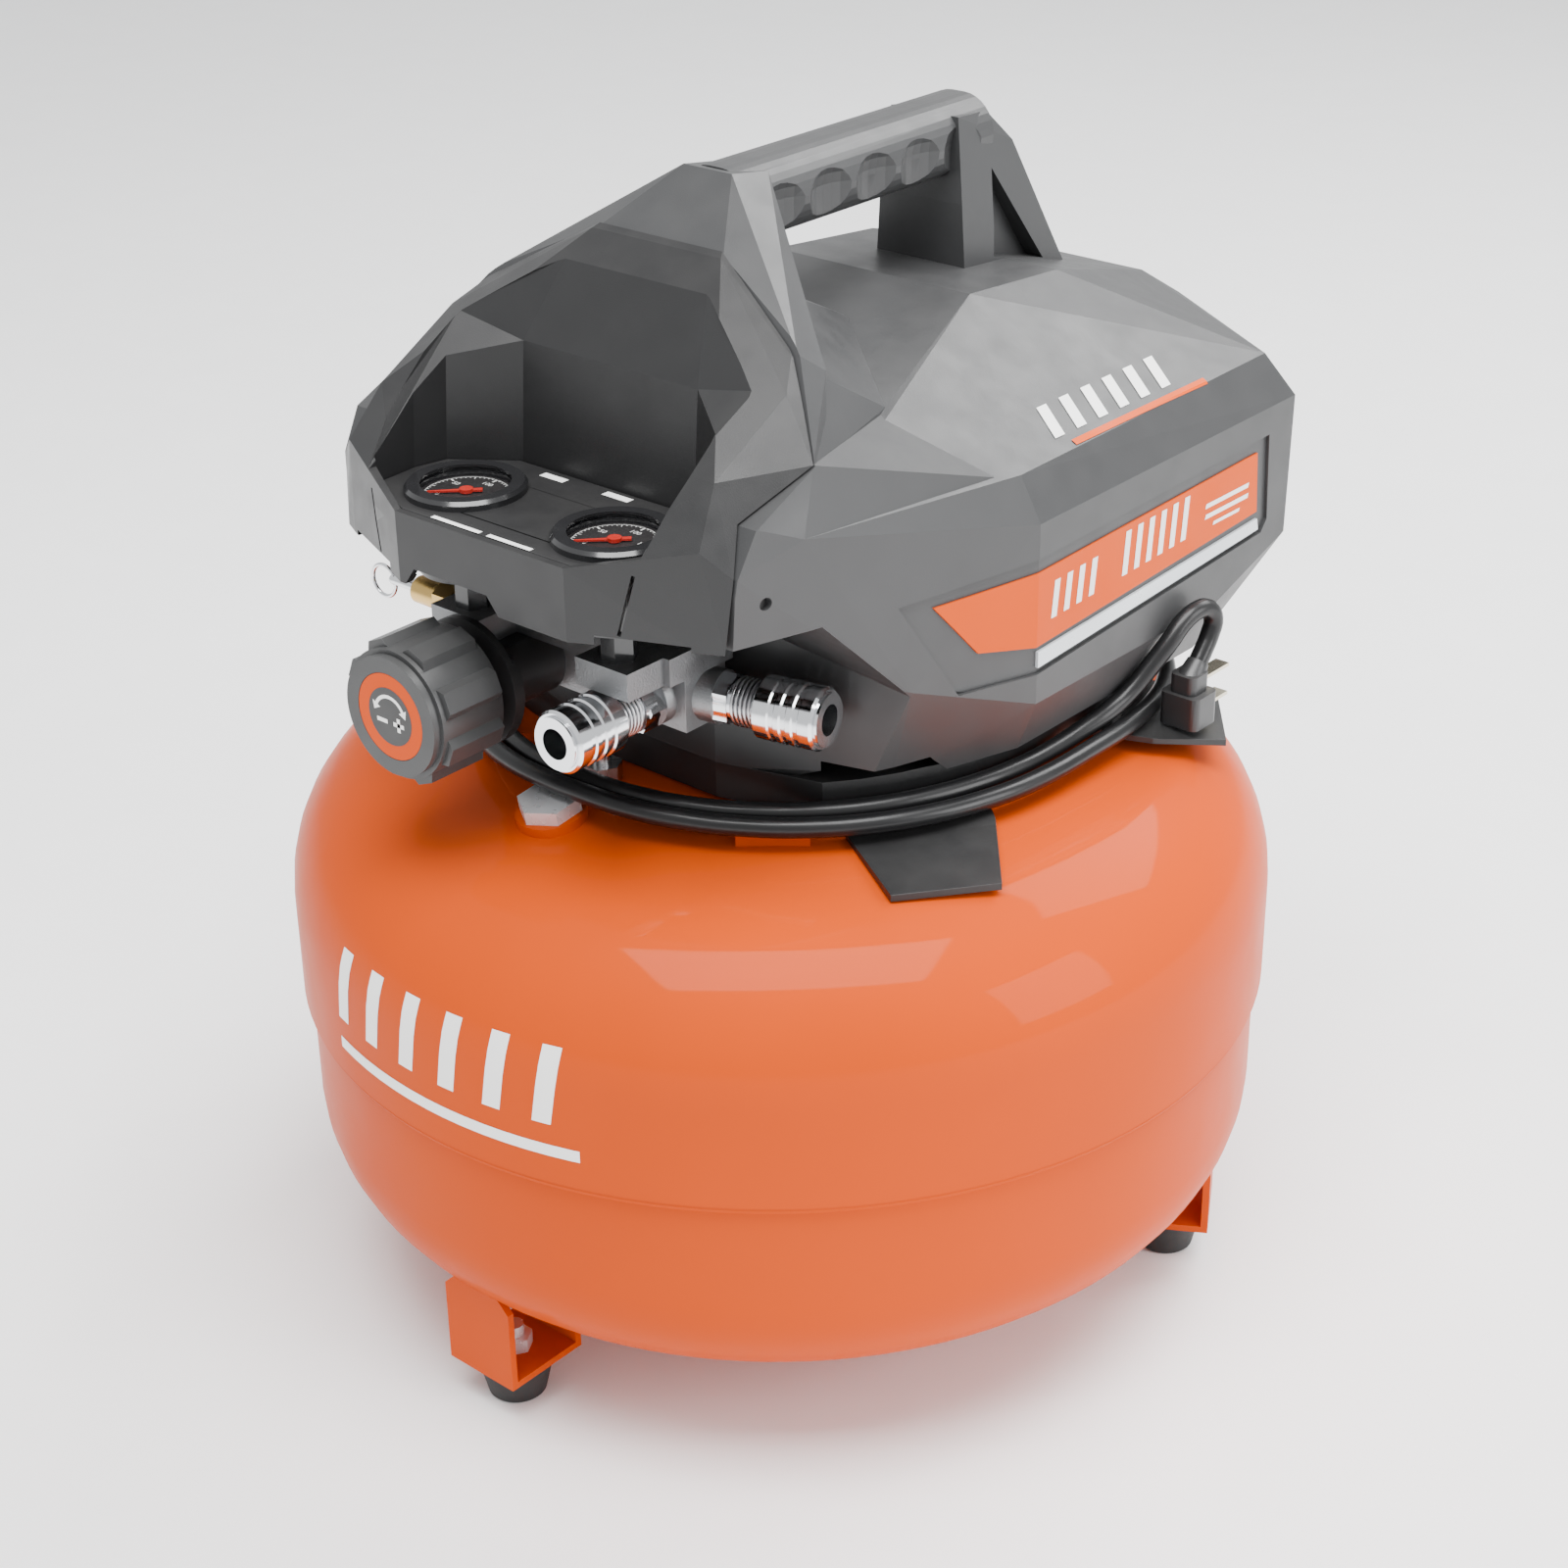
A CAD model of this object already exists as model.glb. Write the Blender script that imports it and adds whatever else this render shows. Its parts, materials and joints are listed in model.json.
"""Looks for the pancake air compressor: camera, cord, materials, printed marks and small detail."""
import json
import math

import bmesh
import bpy
from mathutils import Matrix, Vector
from mathutils.bvhtree import BVHTree


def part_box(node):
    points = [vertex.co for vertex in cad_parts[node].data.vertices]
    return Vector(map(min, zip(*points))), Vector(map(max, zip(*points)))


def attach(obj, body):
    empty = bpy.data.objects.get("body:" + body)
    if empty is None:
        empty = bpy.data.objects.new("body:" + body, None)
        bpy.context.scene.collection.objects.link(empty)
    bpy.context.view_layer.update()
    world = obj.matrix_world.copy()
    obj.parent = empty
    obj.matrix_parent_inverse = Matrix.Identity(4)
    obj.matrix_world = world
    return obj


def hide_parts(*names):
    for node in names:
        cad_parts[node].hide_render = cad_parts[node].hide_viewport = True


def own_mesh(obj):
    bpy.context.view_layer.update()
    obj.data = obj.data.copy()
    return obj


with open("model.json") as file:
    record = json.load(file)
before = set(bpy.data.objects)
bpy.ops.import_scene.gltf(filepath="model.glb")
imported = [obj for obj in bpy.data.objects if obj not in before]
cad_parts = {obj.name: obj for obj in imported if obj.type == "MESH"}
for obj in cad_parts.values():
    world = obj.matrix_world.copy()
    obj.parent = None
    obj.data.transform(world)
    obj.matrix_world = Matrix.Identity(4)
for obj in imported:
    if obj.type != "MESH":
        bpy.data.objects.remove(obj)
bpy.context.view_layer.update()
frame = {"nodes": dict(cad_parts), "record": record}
MM = 0.001

# ---------- camera ----------
AZIMUTH, ELEVATION, ROLL = math.radians(41.435), math.radians(27.103), math.radians(-1.004)
DISTANCE = 1.1991
TARGET = Vector((0, 0, 0.2109))
LENS_MM, SENSOR_MM, SHIFT_X = 66.0, 36, 0.0028


def make_camera():
    ca, sa = math.cos(AZIMUTH), math.sin(AZIMUTH)
    ce, se = math.cos(ELEVATION), math.sin(ELEVATION)
    right = Vector((ca, sa, 0))
    ahead = Vector((-sa * ce, ca * ce, -se))
    up = right.cross(ahead)
    right_r = right * math.cos(ROLL) + up * math.sin(ROLL)
    up_r = up * math.cos(ROLL) - right * math.sin(ROLL)
    data = bpy.data.cameras.new("camera")
    data.sensor_width = SENSOR_MM
    data.lens = LENS_MM
    data.shift_x = SHIFT_X
    data.clip_start = 0.05
    cam = bpy.data.objects.new("camera", data)
    bpy.context.collection.objects.link(cam)
    turn = Matrix((right_r, up_r, -ahead)).transposed().to_4x4()
    cam.matrix_world = Matrix.Translation(TARGET - ahead * DISTANCE) @ turn
    bpy.context.scene.camera = cam


make_camera()


# ---------- material helpers ----------
def ramp(nodes, stops):
    node = nodes.new("ShaderNodeValToRGB")
    els = node.color_ramp.elements
    while len(els) < len(stops):
        els.new(0.5)
    for el, (pos, col) in zip(els, stops):
        el.position = pos
        el.color = (*col, 1)
    return node


def shade(col, k):
    return tuple(min(1.0, c * k) for c in col)


def noise(tree, where, scale, detail):
    node = tree.nodes.new("ShaderNodeTexNoise")
    node.inputs["Scale"].default_value = scale
    node.inputs["Detail"].default_value = detail
    tree.links.new(where, node.inputs["Vector"])
    return node


DUST = (0.5, 0.48, 0.45, 1)
NOISE_LOW, NOISE_HIGH = 0.3, 0.7


def material(name, color, rough=0.5, metal=0.0, coat=0.0, coat_rough=0.1, grain=900.0, bump=0.1,
             bump_d=0.0002, vary=0.08, vary_scale=18.0, rough_vary=0.08, dust=0.0, brushed=None,
             specular=0.5, alpha=1.0):
    """A Principled surface with drifting colour, uneven gloss and fine relief.

    grain is in cells per metre, bump_d in metres, and brushed scales the relief along X, Y and Z.
    """
    m = bpy.data.materials.new(name)
    m.use_nodes = True
    nt = m.node_tree
    nodes, links = nt.nodes, nt.links
    bsdf = nodes["Principled BSDF"]
    bsdf.inputs["Metallic"].default_value = metal
    bsdf.inputs["Coat Weight"].default_value = coat
    bsdf.inputs["Coat Roughness"].default_value = coat_rough
    bsdf.inputs["Specular IOR Level"].default_value = specular
    bsdf.inputs["Alpha"].default_value = alpha
    coord = nodes.new("ShaderNodeTexCoord")
    where = coord.outputs["Object"]
    if brushed:
        stretch = nodes.new("ShaderNodeMapping")
        stretch.inputs["Scale"].default_value = brushed
        links.new(where, stretch.inputs["Vector"])
        where = stretch.outputs["Vector"]
    drift = noise(nt, coord.outputs["Object"], vary_scale, 5)
    tone = ramp(nodes, [(NOISE_LOW, shade(color, 1 - vary)), (NOISE_HIGH, shade(color, 1 + vary))])
    links.new(drift.outputs["Fac"], tone.inputs["Fac"])
    out = tone.outputs["Color"]
    if dust:
        geo = nodes.new("ShaderNodeNewGeometry")
        split = nodes.new("ShaderNodeSeparateXYZ")
        links.new(geo.outputs["Normal"], split.inputs["Vector"])
        patches = noise(nt, coord.outputs["Object"], 55, 8)
        amount = nodes.new("ShaderNodeMath")
        amount.operation = "MULTIPLY"
        links.new(split.outputs["Z"], amount.inputs[0])
        links.new(patches.outputs["Fac"], amount.inputs[1])
        spread = nodes.new("ShaderNodeMapRange")
        spread.inputs["From Min"].default_value = 0.25
        spread.inputs["From Max"].default_value = 0.75
        spread.inputs["To Max"].default_value = dust
        links.new(amount.outputs[0], spread.inputs["Value"])
        blend = nodes.new("ShaderNodeMix")
        blend.data_type = "RGBA"
        blend.inputs["B"].default_value = DUST
        links.new(spread.outputs["Result"], blend.inputs["Factor"])
        links.new(out, blend.inputs["A"])
        out = blend.outputs["Result"]
    links.new(out, bsdf.inputs["Base Color"])
    smudge = noise(nt, where, vary_scale * 4, 6)
    gloss = nodes.new("ShaderNodeMapRange")
    gloss.inputs["From Min"].default_value = NOISE_LOW
    gloss.inputs["From Max"].default_value = NOISE_HIGH
    gloss.inputs["To Min"].default_value = max(0.02, rough - rough_vary)
    gloss.inputs["To Max"].default_value = min(1.0, rough + rough_vary)
    links.new(smudge.outputs["Fac"], gloss.inputs["Value"])
    links.new(gloss.outputs["Result"], bsdf.inputs["Roughness"])
    fine = noise(nt, where, grain, 3)
    relief = nodes.new("ShaderNodeBump")
    relief.inputs["Strength"].default_value = bump
    relief.inputs["Distance"].default_value = bump_d
    links.new(fine.outputs["Fac"], relief.inputs["Height"])
    links.new(relief.outputs["Normal"], bsdf.inputs["Normal"])
    return m


ORANGE = (0.50, 0.055, 0.0001)
SURFACES = {
    "tank_paint": dict(color=ORANGE, rough=0.42, coat=0.12, coat_rough=0.06, grain=200, bump=0.08,
                       bump_d=0.0003, vary=0.03, vary_scale=9.0, rough_vary=0.05, specular=0.02),
    "foot_rubber": dict(color=(0.018, 0.018, 0.018), rough=0.75, grain=1500, bump=0.3, dust=0.3),
    "zinc_steel": dict(color=(0.74, 0.75, 0.77), rough=0.28, metal=0.55, grain=500, bump=0.08,
                       vary=0.06),
    "cover_plastic": dict(color=(0.036, 0.0365, 0.0375), rough=0.40, grain=2200, bump=0.35,
                          bump_d=0.00012, vary=0.05, rough_vary=0.05, dust=0.02, specular=0.4),
    "hood_plastic": dict(color=(0.015, 0.015, 0.0155), rough=0.36, grain=2200, bump=0.35,
                         bump_d=0.00012, vary=0.06, rough_vary=0.05, dust=0.02, specular=0.4),
    "label_print": dict(color=(0.60, 0.070, 0.0004), rough=0.38, grain=700, bump=0.04, vary=0.03,
                        specular=0.08),
    "strip_silver": dict(color=(0.62, 0.66, 0.69), rough=0.34, metal=0.3, grain=900, bump=0.08),
    "screw_black": dict(color=(0.02, 0.02, 0.02), rough=0.4, metal=0.4, grain=1800, bump=0.2),
    "gauge_black": dict(color=(0.012, 0.012, 0.013), rough=0.20, coat=0.4, grain=900, bump=0.03),
    "dial_face": dict(color=(0.020, 0.018, 0.018), rough=0.5, grain=1400, bump=0.05, vary=0.08),
    "lens_clear": dict(color=(0.012, 0.012, 0.014), rough=0.06, grain=120, bump=0.02, vary=0.01,
                       rough_vary=0.02, alpha=0.10, specular=0.25),
    "needle_red": dict(color=(0.55, 0.02, 0.01), rough=0.45, grain=1500, bump=0.05),
    "cast_alloy": dict(color=(0.22, 0.225, 0.23), rough=0.42, metal=0.9, grain=1100, bump=0.6,
                       bump_d=0.0003, vary=0.14, dust=0.1),
    "chrome_steel": dict(color=(0.80, 0.81, 0.83), rough=0.12, metal=1, grain=500, bump=0.03,
                         vary=0.05, rough_vary=0.05),
    "tube_steel": dict(color=(0.55, 0.55, 0.56), rough=0.3, metal=1, grain=400, bump=0.1,
                       brushed=(1, 1, 0.15)),
    "knob_plastic": dict(color=(0.036, 0.0365, 0.037), rough=0.38, grain=2000, bump=0.35,
                         bump_d=0.00012, dust=0.03, specular=0.4),
    "badge_print": dict(color=(0.58, 0.060, 0.0004), rough=0.4, grain=800, bump=0.03, vary=0.03,
                        specular=0.08),
    "brass_bar": dict(color=(0.66, 0.44, 0.15), rough=0.26, metal=1, grain=500, bump=0.08, vary=0.1),
    "motor_steel": dict(color=(0.32, 0.33, 0.35), rough=0.38, metal=1, brushed=(1, 12, 1), grain=260,
                        bump=0.25, vary=0.12),
    "copper_wire": dict(color=(0.55, 0.21, 0.07), rough=0.3, metal=0.8, brushed=(1, 8, 1), grain=500,
                        bump=0.8, bump_d=0.0005),
    "black_plastic": dict(color=(0.022, 0.022, 0.023), rough=0.38, grain=1800, bump=0.25,
                          bump_d=0.00012, dust=0.06),
    "red_plastic": dict(color=(0.50, 0.02, 0.012), rough=0.35, grain=1500, bump=0.12),
    "poppet_rubber": dict(color=(0.02, 0.02, 0.02), rough=0.7, grain=1500, bump=0.2),
    "cord_jacket": dict(color=(0.008, 0.008, 0.0085), rough=0.34, coat=0.08, grain=700, bump=0.08,
                        vary=0.1, rough_vary=0.06, specular=0.3),
    "blade_metal": dict(color=(0.68, 0.62, 0.48), rough=0.22, metal=1, grain=500, bump=0.05),
    "print_white": dict(color=(0.86, 0.86, 0.84), rough=0.4, grain=900, bump=0.03, vary=0.03),
    "print_black": dict(color=(0.015, 0.015, 0.015), rough=0.4, grain=900, bump=0.03),
    "print_red": dict(color=(0.6, 0.03, 0.02), rough=0.4, grain=900, bump=0.03),
}
M = {name: material(name, **look) for name, look in SURFACES.items()}


def paint(obj, name):
    obj.data.materials.clear()
    obj.data.materials.append(M[name])


def add_piece(name, verts, faces, mat, body, smooth=False):
    mesh = bpy.data.meshes.new(name)
    mesh.from_pydata([tuple(v) for v in verts], [], faces)
    mesh.validate()
    if smooth:
        for p in mesh.polygons:
            p.use_smooth = True
    obj = bpy.data.objects.new(name, mesh)
    bpy.context.collection.objects.link(obj)
    paint(obj, mat)
    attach(obj, body)
    return obj


# ---------- mains cord, along the same route as its solid ----------
CORD_D = 0.008

# The winding, in millimetres
WRAP_SIDE, WRAP_REAR, WRAP_FRONT, WRAP_MID_Y, WRAP_Z = 122, 121, 134, 20, 260
REAR_POWER = 0.6
LAYER_GROWTH = 8.6


def wrap(t, grow):
    """A point of the winding at angle t in degrees: an ellipse in front, squarer at the rear."""
    c, s = math.cos(math.radians(t)), math.sin(math.radians(t))
    power = REAR_POWER if s > 0 else 1.0
    b = (WRAP_REAR if s > 0 else WRAP_FRONT) + grow
    x = (WRAP_SIDE + grow) * math.copysign(abs(c) ** power, c)
    y = WRAP_MID_Y + b * math.copysign(abs(s) ** power, s)
    return x, y


def cord_route():
    """From the gland, 1.6 turns round the base, then up, over and down into the plug."""
    start, turn, steps = 128, 584, 60
    route = [(-34, 169, 265), (-48, 169, 265), (-68, 161, 262), (-86, 149, 258)]
    for i in range(steps + 1):
        t = start + turn * i / steps
        grow = LAYER_GROWTH * (start + turn - t) / 360
        x, y = wrap(t, grow)
        route.append((x, y, WRAP_Z - (3.5 + grow / 3) * abs(math.cos(math.radians(t)))))
    route += [(122, 22, 256.6), (123, 42, 258.4), (125, 58, 262), (127.6, 69, 268), (130.6, 77, 276),
              (133.6, 84, 284), (135, 91, 290.5), (136.6, 98, 293.8), (138, 104.4, 293), (139, 107.4, 288.2),
              (139, 105.2, 281.6), (139, 101.2, 276.3), (139, 97.8, 272.5)]
    return [Vector(p) * MM for p in route]


def curve_piece(name, points, radius, mat, body):
    data = bpy.data.curves.new(name, "CURVE")
    data.dimensions = "3D"
    data.bevel_depth = radius
    data.bevel_resolution = 4
    data.resolution_u = 4
    data.use_fill_caps = True
    spline = data.splines.new("BEZIER")
    spline.bezier_points.add(len(points) - 1)
    for bp, p in zip(spline.bezier_points, points):
        bp.co = p
        bp.handle_left_type = bp.handle_right_type = "AUTO"
    obj = bpy.data.objects.new(name, data)
    bpy.context.collection.objects.link(obj)
    obj.data.materials.append(M[mat])
    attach(obj, body)
    return obj


def route_length(points):
    return sum((b - a).length for a, b in zip(points, points[1:]))


route = cord_route()
cord = curve_piece("cord", route, CORD_D / 2, "cord_jacket", "tank")
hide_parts("mains_cord")
print("cord length", round(route_length(route), 3))

# ---------- CAD nodes ----------
for entry in frame["record"]["subparts"]:
    node = frame["nodes"].get(entry["node"])
    if node is not None:
        paint(node, entry["material_slot"])


# ---------- mesh helpers ----------
def mesh_tube(points, radius, sides):
    """Vertices and faces of a round wire along points."""
    verts, faces = [], []
    n = len(points)
    side = None
    for i, p in enumerate(points):
        a = points[i - 1] if i else p
        b = points[i + 1] if i < n - 1 else p
        d = (b - a).normalized()
        if side is None:
            side = d.orthogonal().normalized()
        side = (side - d * side.dot(d)).normalized()
        up = d.cross(side)
        for k in range(sides):
            t = 2 * math.pi * k / sides
            verts.append(p + (side * math.cos(t) + up * math.sin(t)) * radius)
    for i in range(n - 1):
        for k in range(sides):
            m = (k + 1) % sides
            faces.append((i * sides + k, i * sides + m, (i + 1) * sides + m, (i + 1) * sides + k))
    faces.append(tuple(range(sides))[::-1])
    faces.append(tuple((n - 1) * sides + k for k in range(sides)))
    return verts, faces


def join(parts):
    """Joins (verts, faces) lists into one."""
    verts, faces = [], []
    for v, f in parts:
        faces += [tuple(i + len(verts) for i in face) for face in f]
        verts += list(v)
    return verts, faces


def tree_of(name):
    bm = bmesh.new()
    bm.from_mesh(frame["nodes"][name].data)
    tree = BVHTree.FromBMesh(bm)
    bm.free()
    return tree


def sheet_on(tree, place, ray, nu, nv, lift):
    """A grid laid on a surface: place(u, v) gives where each ray starts and ray(u, v) its direction."""
    verts, faces = [], []
    for j in range(nv + 1):
        for i in range(nu + 1):
            u, v = i / nu, j / nv
            p, d = place(u, v), ray(u, v)
            hit = tree.ray_cast(p, d)[0] or p
            verts.append(hit - d * lift)
    for j in range(nv):
        for i in range(nu):
            a = j * (nu + 1) + i
            faces.append((a, a + 1, a + nu + 2, a + nu + 1))
    return verts, faces


def disc(centre, u, v, r0, r1, a0=0.0, a1=360.0, steps=48):
    """A flat ring sector in the plane of u and v."""
    verts, faces = [], []
    for i in range(steps + 1):
        t = math.radians(a0 + (a1 - a0) * i / steps)
        d = u * math.cos(t) + v * math.sin(t)
        verts += [centre + d * r0, centre + d * r1]
    for i in range(steps):
        faces.append((2 * i, 2 * i + 1, 2 * i + 3, 2 * i + 2))
    return verts, faces


def slab(centre, u, v, w, h):
    """A flat rectangle in the plane of u and v."""
    pts = [(-w / 2, -h / 2), (w / 2, -h / 2), (w / 2, h / 2), (-w / 2, h / 2)]
    return [centre + u * a + v * b for a, b in pts], [(0, 1, 2, 3)]


X, Y, Z = Vector((1, 0, 0)), Vector((0, 1, 0)), Vector((0, 0, 1))

MERGE_DISTANCE = 0.00002
BEVEL_ANGLE, CREASE_ANGLE = math.radians(24), math.radians(22)

# Rounded edges on the moulded parts
for name, width in (("main_shroud", 0.0016), ("front_hood", 0.0010), ("shroud_base", 0.0008),
                    ("gauge_panel", 0.0005), ("regulator_knob", 0.0007), ("plug_body", 0.0008),
                    ("manifold", 0.0008)):
    node = frame["nodes"][name]
    weld = node.modifiers.new("weld", "WELD")
    weld.merge_threshold = MERGE_DISTANCE
    bevel = node.modifiers.new("round", "BEVEL")
    bevel.width = width
    bevel.segments = 2
    bevel.limit_method = "ANGLE"
    bevel.angle_limit = BEVEL_ANGLE
    bevel.use_clamp_overlap = True
    bevel.harden_normals = False


def smooth_group():
    """Shades round pieces smooth across their facets, up to the crease angle."""
    group = bpy.data.node_groups.new("smooth", "GeometryNodeTree")
    group.interface.new_socket("Geometry", in_out="INPUT", socket_type="NodeSocketGeometry")
    group.interface.new_socket("Geometry", in_out="OUTPUT", socket_type="NodeSocketGeometry")
    nodes, links = group.nodes, group.links
    merge = nodes.new("GeometryNodeMergeByDistance")
    merge.inputs["Distance"].default_value = MERGE_DISTANCE
    angle = nodes.new("GeometryNodeInputMeshEdgeAngle")
    soft = nodes.new("FunctionNodeCompare")
    soft.operation = "LESS_THAN"
    soft.inputs["B"].default_value = CREASE_ANGLE
    faces = nodes.new("GeometryNodeSetShadeSmooth")
    edges = nodes.new("GeometryNodeSetShadeSmooth")
    edges.domain = "EDGE"
    links.new(nodes.new("NodeGroupInput").outputs[0], merge.inputs["Geometry"])
    links.new(merge.outputs["Geometry"], faces.inputs["Geometry"])
    links.new(faces.outputs["Geometry"], edges.inputs["Geometry"])
    links.new(angle.outputs["Unsigned Angle"], soft.inputs["A"])
    links.new(soft.outputs["Result"], edges.inputs["Shade Smooth"])
    links.new(edges.outputs["Geometry"], nodes.new("NodeGroupOutput").inputs[0])
    return group


SMOOTH = smooth_group()
for name in ("tank_upper_shell", "tank_lower_shell", "tank_weld_bead", "tank_bosses",
             "rubber_foot_front", "rubber_foot_right", "rubber_foot_left", "gauge_bezels",
             "coupler_front", "coupler_side", "sleeve_front", "sleeve_side", "safety_pull_ring",
             "safety_valve", "air_tubes", "regulator_body", "strain_relief"):
    frame["nodes"][name].modifiers.new("smooth", "NODES").node_group = SMOOTH

# How far printed marks stand off their surface
TANK_LIFT, COVER_LIFT, LABEL_LIFT, SHELF_LIFT, DIAL_LIFT = 0.00018, 0.00035, 0.00016, 0.00012, 0.0001
STACK_LIFT = 0.00006

# Tank mark: slanted bars over a stripe
tank_tree = tree_of("tank_upper_shell")


RAY_RADIUS, RAY_X, RAY_TOP = 0.3, 0.2, 0.6


def tank_mark(a0, a1, z0, z1, shift):
    """Between angles a0 and a1 and heights z0 and z1, leaning by shift degrees."""
    def start(u, v):
        a = math.radians(a0 + (a1 - a0) * u + shift * v)
        return Vector((RAY_RADIUS * math.cos(a), RAY_RADIUS * math.sin(a), (z0 + (z1 - z0) * v) * MM))

    def inward(u, v):
        a = math.radians(a0 + (a1 - a0) * u + shift * v)
        return Vector((-math.cos(a), -math.sin(a), 0))

    return sheet_on(tank_tree, start, inward, max(4, int(abs(a1 - a0) * 1.2)), 8, TANK_LIFT)


MARK_START, MARK_END, BAR_PITCH, BAR_WIDTH = -107.5, -70.5, 6.3, 2.3
bars = [MARK_START + BAR_PITCH * k for k in range(6)]
add_piece("tank_mark", *join([tank_mark(a, a + BAR_WIDTH, 166, 199, 1.5) for a in bars]
                             + [tank_mark(MARK_START, MARK_END, 152, 157, 0)]),
          "print_white", "tank", smooth=True)

# Cover mark on the top, and plain blocks on the side labels
cover_tree = tree_of("main_shroud")
label_tree = tree_of("side_labels")


def cover_mark(y0, y1, s0, s1, slant):
    """Laid on the sloping top: s runs down the slope from the upper edge, at x 101."""
    def start(u, v):
        s = s0 + (s1 - s0) * v
        y = y0 + (y1 - y0) * u - slant * v
        return Vector(((101 + s) * MM, y * MM, RAY_TOP))

    return sheet_on(cover_tree, start, lambda u, v: -Z, 6, 4, COVER_LIFT)


add_piece("cover_mark", *join([cover_mark(34 + 14 * k, 40 + 14 * k, 1, 14.5, 6) for k in range(6)]),
          "print_white", "tank")
add_piece("cover_underline", *cover_mark(34, 122, 17.5, 20, 0), "label_print", "tank")


def label_mark(sx, y0, y1, z0, z1, slant):
    """On the label of side sx, leaning by slant millimetres."""
    def start(u, v):
        return Vector((sx * RAY_X, (y0 + (y1 - y0) * u + slant * v) * MM, (z0 + (z1 - z0) * v) * MM))

    return sheet_on(label_tree, start, lambda u, v: -sx * X, 4, 3, LABEL_LIFT)


label_blocks = [(9 + 8 * k, 12.5 + 8 * k, 319 + 0.3 * k, 334 + 0.3 * k) for k in range(4)]
label_blocks += [(55 + 8 * k, 58.5 + 8 * k, 321 + 0.3 * k, 339 + 0.3 * k) for k in range(6)]
label_lines = [(112, 143, 331, 333), (112, 143, 326.5, 328.5), (118, 137, 322.5, 324)]
for sx, side in ((1, "right"), (-1, "left")):
    for kind, marks, slant in (("blocks", label_blocks, 2), ("lines", label_lines, 0.6)):
        add_piece("label_" + kind + "_" + side, *join([label_mark(sx, *m, slant) for m in marks]),
                  "print_white", "tank")

# Dashes on the gauge shelf
shelf_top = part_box("gauge_panel")[1][2] + SHELF_LIFT
# centre X and Y, width and height, in millimetres
dashes = [(-15.5, -155.2, 25, 2.2), (11.8, -155.2, 22, 2.2), (-21, -100.2, 12, 3.6), (11.2, -99.6, 13, 3.6)]
add_piece("shelf_dashes", *join([slab(Vector((x * MM, y * MM, shelf_top)), X, Y, w * MM, h * MM)
                                 for x, y, w, h in dashes]), "print_white", "tank")

# Gauge printing
DIAL_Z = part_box("gauge_dials")[1][2] + DIAL_LIFT
GAUGE_X, GAUGE_Y = 0.038, -0.129
SCALE_TOP, SCALE_STEP, SCALE_START, SCALE_SWEEP, TICKS = 200, 50, 225, 270, 40
RING_IN, RING_OUT, NUMBER_R, NUMBER_SIZE = 0.0158, 0.0161, 0.0107, 0.0034
BAND_IN, BAND_OUT = 0.0132, 0.0144


def number(text, centre, size):
    data = bpy.data.curves.new("number", "FONT")
    data.body = text
    data.size = size
    data.align_x = data.align_y = "CENTER"
    data.resolution_u = 2
    obj = bpy.data.objects.new("number", data)
    bpy.context.collection.objects.link(obj)
    bpy.context.view_layer.update()
    mesh = bpy.data.meshes.new_from_object(obj.evaluated_get(bpy.context.evaluated_depsgraph_get()))
    verts = [v.co + centre for v in mesh.vertices]
    faces = [tuple(p.vertices) for p in mesh.polygons]
    bpy.data.objects.remove(obj)
    return verts, faces


def dial_direction(part):
    """Unit vector at a share of the scale, from 0 at its start to 1 at its end."""
    a = math.radians(SCALE_START - SCALE_SWEEP * part)
    return Vector((math.cos(a), math.sin(a), 0))


for sx, side in ((-1, "tank"), (1, "outlet")):
    mid = Vector((sx * GAUGE_X, GAUGE_Y, DIAL_Z))
    white = [disc(mid, X, Y, RING_IN, RING_OUT, SCALE_START, SCALE_START - SCALE_SWEEP, 60)]
    for i in range(TICKS + 1):
        d = dial_direction(i / TICKS)
        long = i % 10 == 0
        depth = 0.0028 if long else (0.0021 if i % 5 == 0 else 0.0012)
        width = 0.0007 if long else 0.00035
        white.append(slab(mid + d * (RING_OUT - depth / 2), d, d.cross(Z), depth, width))
    for value in range(0, SCALE_TOP + 1, SCALE_STEP):
        white.append(number(str(value), mid + dial_direction(value / SCALE_TOP) * NUMBER_R, NUMBER_SIZE))
    add_piece("dial_print_" + side, *join(white), "print_white", "tank")
    add_piece("dial_band_" + side, *disc(mid + Z * (DIAL_LIFT / 2), X, Y, BAND_IN, BAND_OUT, -3, -45, 24),
              "print_red", "tank")

# Badge on the regulator knob: a dark disc with a two-headed arrow over a minus and a plus
KNOB_X, KNOB_Z = -0.028, 0.302
SIGN_X, SIGN_DROP, SIGN_LONG, SIGN_THICK = 0.0044, 0.0024, 0.0056, 0.0017
ARC_IN, ARC_OUT, ARC_FROM, ARC_TO = 0.0072, 0.0086, 28, 152
HEAD_HALF, HEAD_LONG = 0.0022, 0.003
badge = Vector((KNOB_X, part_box("knob_badge")[0][1] - STACK_LIFT, KNOB_Z))
add_piece("badge_disc", *disc(badge, X, Z, 0.0, 0.0115), "print_black", "knob")
front = badge - Y * STACK_LIFT
signs = [slab(front + X * s * SIGN_X - Z * SIGN_DROP, X, Z, SIGN_LONG, SIGN_THICK) for s in (-1, 1)]
signs.append(slab(front + X * SIGN_X - Z * SIGN_DROP, X, Z, SIGN_THICK, SIGN_LONG))
signs.append(disc(front, X, Z, ARC_IN, ARC_OUT, ARC_FROM, ARC_TO, 24))
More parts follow.
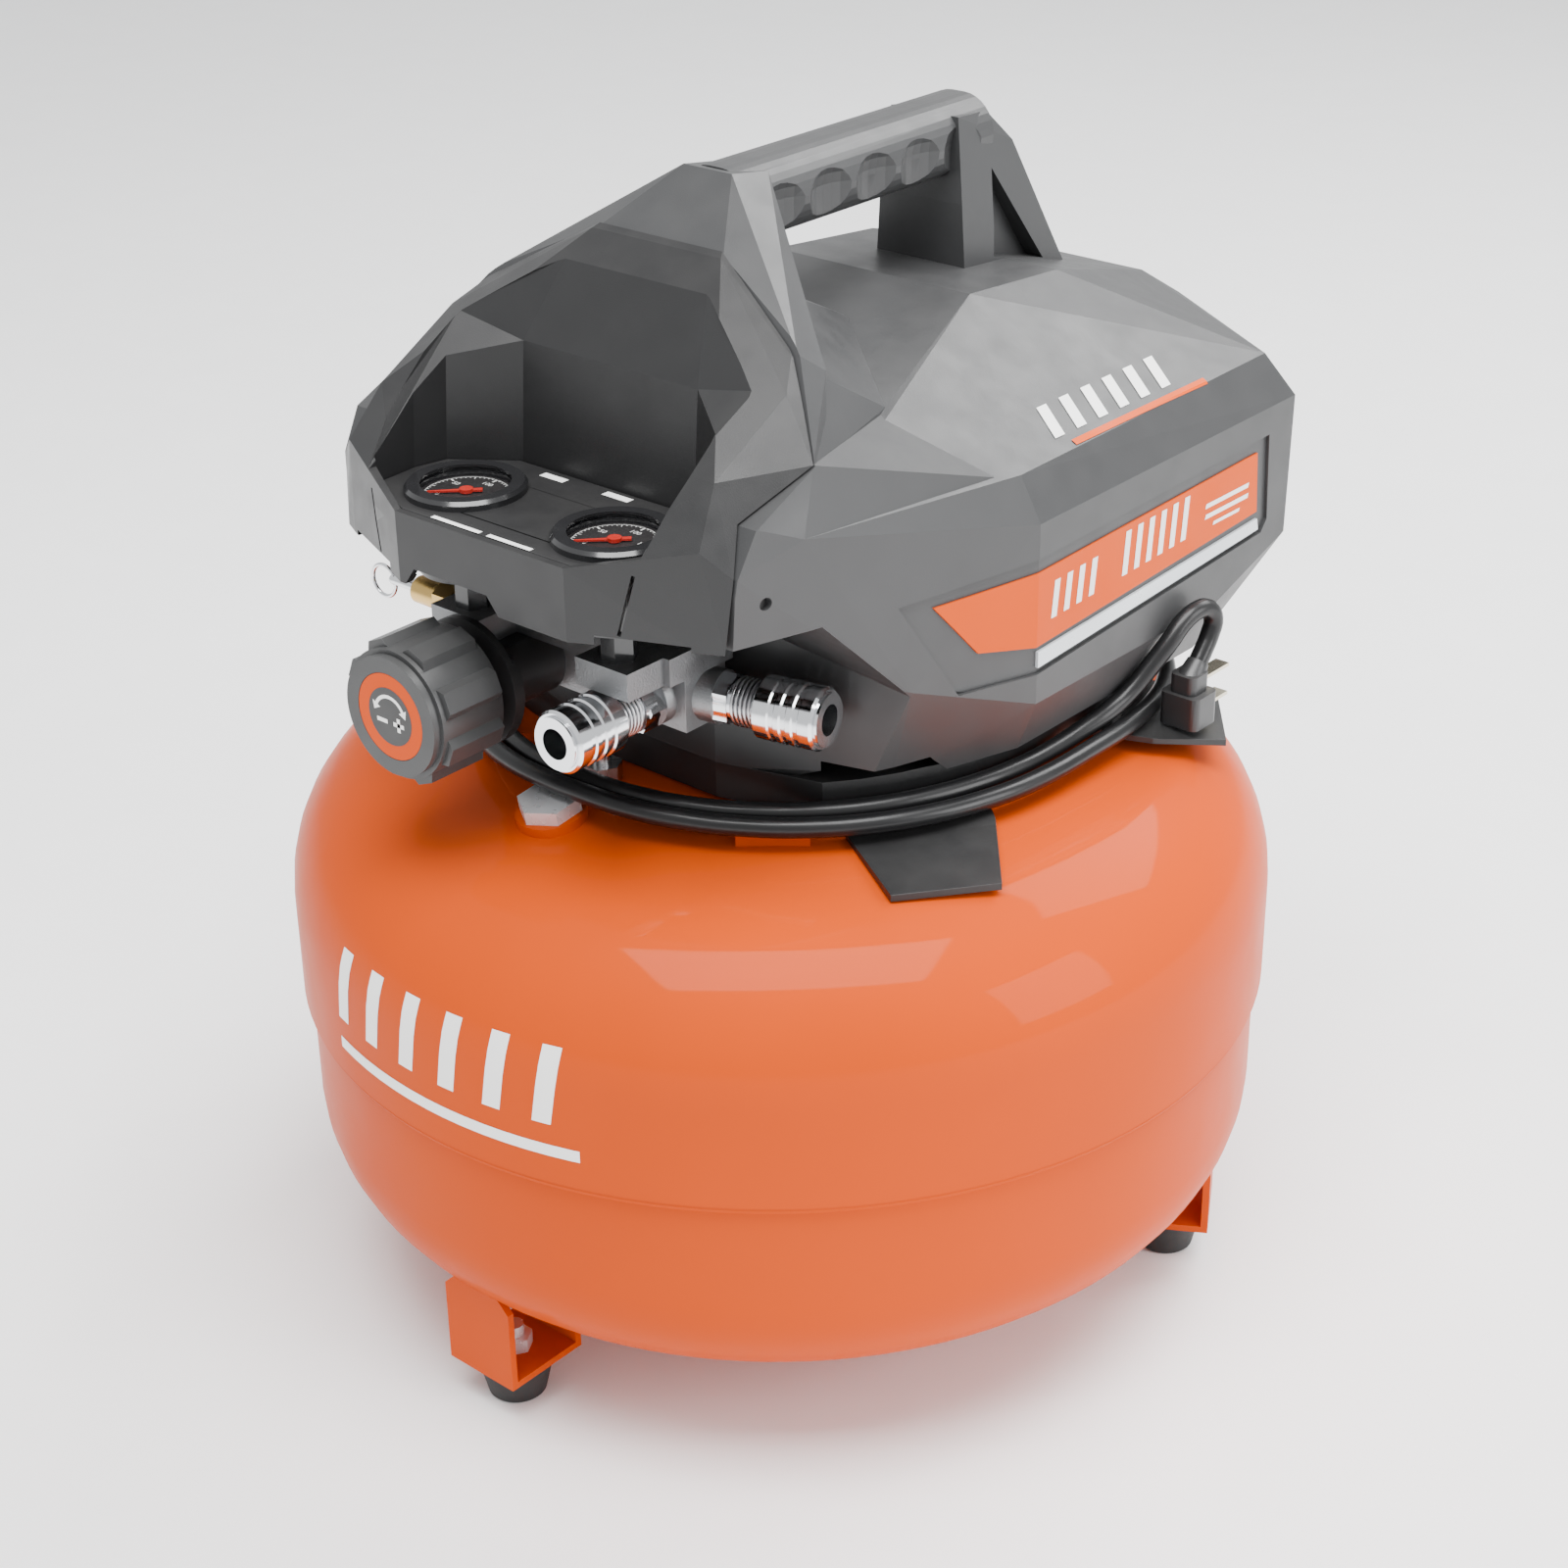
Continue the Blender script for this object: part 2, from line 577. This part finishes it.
for a, s in ((ARC_FROM, -1), (ARC_TO, 1)):
    out = X * math.cos(math.radians(a)) + Z * math.sin(math.radians(a))
    along = (Z * math.cos(math.radians(a)) - X * math.sin(math.radians(a))) * s
    base = front + out * ((ARC_IN + ARC_OUT) / 2)
    signs.append(([base + out * HEAD_HALF, base - out * HEAD_HALF, base + along * HEAD_LONG], [(0, 1, 2)]))
add_piece("badge_signs", *join(signs), "print_white", "knob")

# Springs behind the coupler sleeves
YAW = math.radians(12)
side_dir = Vector((math.cos(YAW), math.sin(YAW), 0))
WIRE_R, WIRE_SIDES, STEPS_PER_TURN = 0.00062, 8, 20


def spring(origin, axis, low, high, turns, r):
    """A coil of radius r round axis, between two distances from origin."""
    u = axis.orthogonal().normalized()
    v = axis.cross(u)
    pts = []
    for i in range(turns * STEPS_PER_TURN + 1):
        f = i / (turns * STEPS_PER_TURN)
        t = 2 * math.pi * turns * f
        pts.append(origin + axis * (low + (high - low) * f) + (u * math.cos(t) + v * math.sin(t)) * r)
    return mesh_tube(pts, WIRE_R, WIRE_SIDES)


for name, origin, axis, joint in (("front", Vector((0.035, -0.097, 0.302)), -Y, "sleeve_front_slide"),
                                  ("side", Vector((0.036, -0.097, 0.302)), side_dir, "sleeve_side_slide")):
    coil = add_piece("spring_" + name, *spring(origin, axis, 0.0272, 0.0364, 5, 0.0090),
                     "tube_steel", "tank", smooth=True)
    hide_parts("sleeve_spring_" + name)
    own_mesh(coil)

# ---------- light and floor ----------


def area(name, place, aim, size, power):
    data = bpy.data.lights.new(name, "AREA")
    data.shape = "RECTANGLE"
    data.size, data.size_y = size
    data.energy = power
    lamp = bpy.data.objects.new(name, data)
    bpy.context.collection.objects.link(lamp)
    lamp.location = place
    lamp.rotation_euler = (Vector(aim) - Vector(place)).to_track_quat("-Z", "Y").to_euler()


FLOOR_HALF = 6.0


def make_stage():
    world = bpy.data.worlds.new("studio")
    bpy.context.scene.world = world
    world.use_nodes = True
    world.node_tree.nodes["Background"].inputs["Color"].default_value = (0.93, 0.94, 0.95, 1)
    world.node_tree.nodes["Background"].inputs["Strength"].default_value = 1.05
    area("overhead", (0.5, -0.5, 2.3), (0, 0, 0.2), (1.9, 1.2), 112)
    area("rear", (0.3, 1.6, 1.9), (0, 0, 0.35), (1.6, 1.0), 60)
    area("side", (2.2, 0.5, 1.0), (0, 0, 0.3), (1.0, 1.2), 34)
    s = FLOOR_HALF
    floor = bpy.data.meshes.new("floor")
    floor.from_pydata([(-s, -s, 0), (s, -s, 0), (s, s, 0), (-s, s, 0)], [], [(0, 1, 2, 3)])
    obj = bpy.data.objects.new("floor", floor)
    bpy.context.collection.objects.link(obj)
    floor.materials.append(material("floor_pale", (0.93, 0.93, 0.93), rough=0.8, grain=90, bump=0.02,
                                    vary=0.01))


make_stage()
